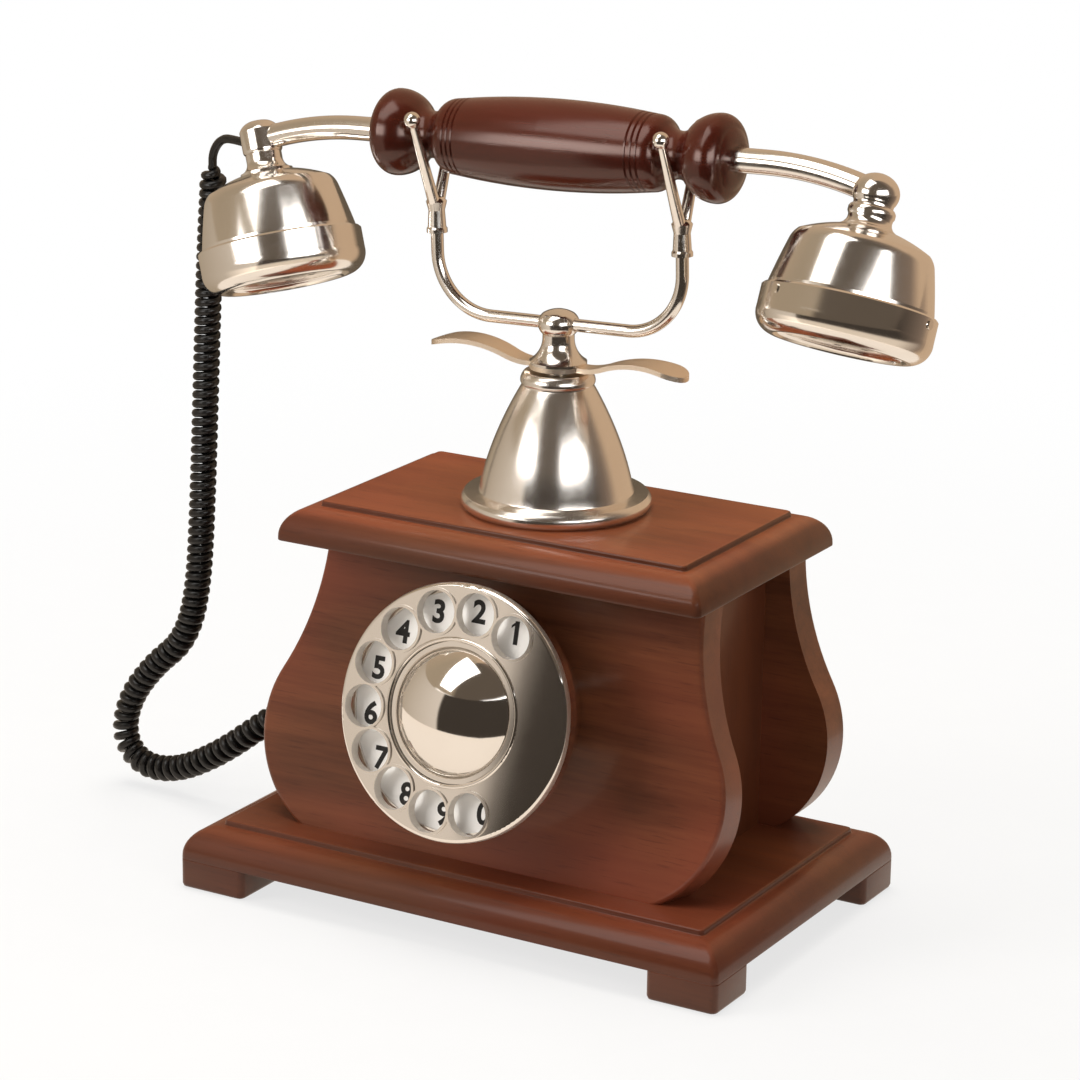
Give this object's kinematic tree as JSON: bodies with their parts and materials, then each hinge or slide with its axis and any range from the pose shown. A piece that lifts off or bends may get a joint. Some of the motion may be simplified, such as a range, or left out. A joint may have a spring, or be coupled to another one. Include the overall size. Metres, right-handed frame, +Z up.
{
  "type": "cradle telephone",
  "caption": "French-style desk telephone: wooden case on moulded boards, rotary dial, metal column and forked cradle, lift-off handset with bell cups and a curly cord.",
  "frame": {"origin": "on the table under the middle of the whole telephone, measured without its cord", "axes": "+Z up, -Y towards the user with the dial, +X to the user's right, where the earpiece hangs"},
  "size_m": [0.3066, 0.1251, 0.255],
  "materials": {
    "wood": "satin mahogany lacquer",
    "chrome": "polished warm nickel plate",
    "steel": "plain machined",
    "brass": "machined",
    "plate": "off-white enamel with black figures",
    "plastic": "moulded",
    "board": "laminate",
    "cord": "glossy"
  },
  "bodies": {
    "case": {"base_board": "wood", "feet": "wood", "front_panel": "wood", "rear_panel": "wood", "left_side_panel": "wood", "right_side_panel": "wood", "top_board": "wood", "base_screws": "steel", "column": "chrome", "guide_bush": "brass", "bush_nut": "steel", "plunger_spring": "steel", "switch_bracket": "steel", "hook_switch": "plastic", "dial_cup": "chrome", "dial_screws": "steel", "dial_frame": "steel", "return_spring": "steel", "number_plate": "plate", "circuit_board": "board", "board_standoffs": "plastic", "ringer": "plastic", "line_jack": "plastic", "case_grommet": "cord", "handset_cord": "cord"},
    "cradle": {"plunger": "steel", "plunger_clip": "steel", "leaf_lever": "chrome", "cradle_hub": "chrome", "cradle_yoke": "chrome", "left_fork": "chrome", "right_fork": "chrome"},
    "handset": {"handle_grip": "wood", "earpiece_tube": "chrome", "mouthpiece_tube": "chrome", "earpiece_knuckle": "chrome", "mouthpiece_knuckle": "chrome", "earpiece_bell": "chrome", "mouthpiece_bell": "chrome", "earpiece_cap": "chrome", "mouthpiece_cap": "chrome", "receiver_capsule": "plastic", "microphone_capsule": "plastic", "bell_nuts": "steel", "cap_screws": "chrome", "cord_boot": "cord", "cord_lead": "cord"},
    "dial": {"finger_wheel": "chrome", "dial_dome": "chrome", "dial_shaft": "steel", "main_gear": "brass"},
    "governor": {"governor_spindle": "brass"}
  },
  "joints": [
    {"name": "handset_lift", "type": "slide", "parent": "case", "child": "handset", "axis": [0, 0, 1], "range_m": [0, 0.12]},
    {"name": "cradle_rise", "type": "slide", "parent": "case", "child": "cradle", "axis": [0, 0, 1], "range_m": [0, 0.005], "deforming": ["plunger_spring"]},
    {"name": "dial_turn", "type": "hinge", "parent": "case", "child": "dial", "pos_m": [-0.0033, -0.02925, 0.06858], "axis": [0, 0.9707, -0.2402], "range_deg": [0, 316], "stiffness_Nm_per_rad": 0.02},
    {"name": "governor_spin", "type": "hinge", "parent": "case", "child": "governor", "pos_m": [-0.02173, -0.03235, 0.05605], "axis": [0, 0.9707, -0.2402], "range_deg": [-1264, 0]}
  ],
  "couplings": [
    {"joint": "cradle_rise", "follows": "handset_lift", "ratio": 0.041667},
    {"joint": "governor_spin", "follows": "dial_turn", "ratio": -4}
  ]
}
